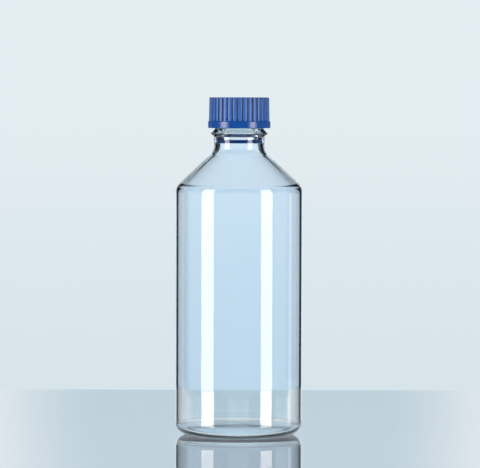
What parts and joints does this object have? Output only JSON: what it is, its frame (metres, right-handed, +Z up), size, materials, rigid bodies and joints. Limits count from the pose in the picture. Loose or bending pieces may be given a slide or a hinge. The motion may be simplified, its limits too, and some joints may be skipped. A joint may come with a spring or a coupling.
{
  "type": "laboratory screw-cap bottle",
  "caption": "Tall clear glass laboratory bottle with straight sides, sloped shoulder, beaded threaded neck and a ribbed blue screw cap over a pouring ring and sealing disc.",
  "frame": {"origin": "middle of the base, on the surface that the bottle stands on", "axes": "+Z up along the bottle's axis; the threads start on +X"},
  "size_m": [0.11, 0.11, 0.2925],
  "materials": {
    "clear_glass": "clear polished borosilicate glass",
    "ring_plastic": "moulded polypropylene, smooth",
    "seal_liner": "soft sealing disc, matt",
    "cap_plastic": "moulded polypropylene, satin, ribbed grip"
  },
  "bodies": {
    "bottle": {"glass_bottle": "clear_glass", "pouring_ring": "ring_plastic"},
    "seal": {"cap_seal": "seal_liner"},
    "cap": {"screw_cap": "cap_plastic"}
  },
  "joints": [
    {"name": "cap_lift", "type": "slide", "parent": "bottle", "child": "seal", "axis": [0, 0, 1], "range_m": [0, 0.024]},
    {"name": "cap_turn", "type": "hinge", "parent": "seal", "child": "cap", "pos_m": [0, 0, 0.279], "axis": [0, 0, 1], "range_deg": [0, 2160]}
  ],
  "couplings": [
    {"joint": "cap_lift", "follows": "cap_turn", "m_per_rad": 0.0006366}
  ]
}
